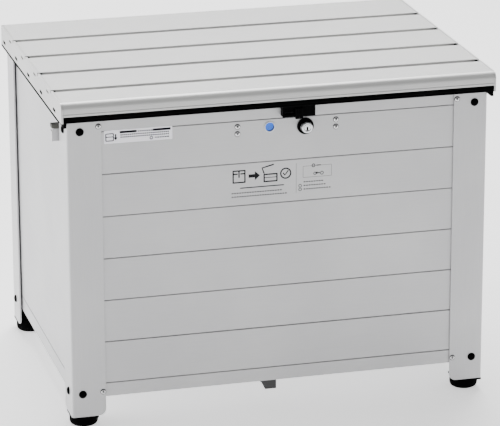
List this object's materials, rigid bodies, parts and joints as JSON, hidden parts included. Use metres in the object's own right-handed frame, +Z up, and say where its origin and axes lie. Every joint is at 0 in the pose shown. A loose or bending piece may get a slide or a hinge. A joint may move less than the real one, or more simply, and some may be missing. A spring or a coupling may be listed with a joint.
{
  "type": "parcel drop box",
  "caption": "Outdoor parcel box of pale metal boards on corner posts and round feet, with a slatted lid hinged at the rear, a thumb slide with a coloured flag, and a push lock.",
  "frame": {"origin": "middle of the whole object's footprint, at the level of the feet", "axes": "+Z up, +X to the right seen from the front, +Y to the rear, so the front with the lock faces -Y"},
  "size_m": [0.6098, 0.4498, 0.4684],
  "materials": {
    "silver_aluminium": "satin anodised, light silver grey",
    "lid_aluminium": "satin anodised, finely reeded",
    "black_plastic": "moulded, slightly glossy",
    "black_rubber": "matt",
    "steel": "bright rolled",
    "dark_steel": "black paint",
    "chrome": "polished",
    "clear_plastic": "clear moulded plastic",
    "blue_plastic": "blue half and red half"
  },
  "bodies": {
    "box": {"corner_post_front_left": "silver_aluminium", "foot_front_left": "black_rubber", "corner_post_front_right": "silver_aluminium", "foot_front_right": "black_rubber", "corner_post_rear_left": "silver_aluminium", "foot_rear_left": "black_rubber", "corner_post_rear_right": "silver_aluminium", "foot_rear_right": "black_rubber", "bottom_rail_front": "silver_aluminium", "top_rail_front": "silver_aluminium", "bottom_rail_rear": "silver_aluminium", "top_rail_rear": "silver_aluminium", "bottom_rail_left": "silver_aluminium", "top_rail_left": "silver_aluminium", "bottom_rail_right": "silver_aluminium", "top_rail_right": "silver_aluminium", "front_board_1": "silver_aluminium", "front_board_2": "silver_aluminium", "front_board_3": "silver_aluminium", "front_board_4": "silver_aluminium", "front_board_5": "silver_aluminium", "front_board_6": "silver_aluminium", "rear_panel": "silver_aluminium", "side_panel_left": "silver_aluminium", "side_panel_right": "silver_aluminium", "floor_panel": "silver_aluminium", "hinge_lower_leaf_left": "steel", "hinge_lower_leaf_right": "steel", "hinge_pin_left": "steel", "hinge_pin_right": "steel", "lock_barrel": "black_plastic", "lock_nut": "steel", "indicator_window": "clear_plastic", "latch_housing": "black_plastic", "lock_case": "steel", "front_bracket": "dark_steel", "side_tab_left": "silver_aluminium", "side_tab_right": "silver_aluminium", "side_pad_left": "black_rubber", "side_pad_right": "black_rubber"},
    "lid": {"lid_plank_1": "lid_aluminium", "lid_plank_2": "lid_aluminium", "lid_plank_3": "lid_aluminium", "lid_plank_4": "lid_aluminium", "lid_plank_5": "lid_aluminium", "lid_end_cap_left": "lid_aluminium", "lid_end_cap_right": "lid_aluminium", "lid_front_strip": "black_plastic", "lid_rear_rail": "lid_aluminium", "lid_side_seal_left": "black_rubber", "lid_side_seal_right": "black_rubber", "lid_striker": "steel", "hinge_upper_leaf_left": "steel", "hinge_upper_leaf_right": "steel"},
    "push_lock": {"lock_plunger": "chrome", "lock_bolt": "steel"},
    "key_plug": {"lock_key_plug": "chrome"},
    "indicator": {"thumb_slide": "black_plastic", "indicator_flag": "blue_plastic"}
  },
  "joints": [
    {"name": "lid_hinge", "type": "hinge", "parent": "box", "child": "lid", "pos_m": [0, 0.2213, 0.4443], "axis": [-1, 0, 0], "range_deg": [0, 100]},
    {"name": "lock_push", "type": "slide", "parent": "box", "child": "push_lock", "axis": [0, 1, 0], "range_m": [0, 0.008], "stiffness_N_per_m": 400, "springref_m": -0.002},
    {"name": "key_turn", "type": "hinge", "parent": "push_lock", "child": "key_plug", "pos_m": [0.036, -0.215, 0.4087], "axis": [0, 1, 0], "range_deg": [0, 90]},
    {"name": "indicator_slide", "type": "slide", "parent": "box", "child": "indicator", "axis": [-1, 0, 0], "range_m": [0, 0.014]}
  ]
}
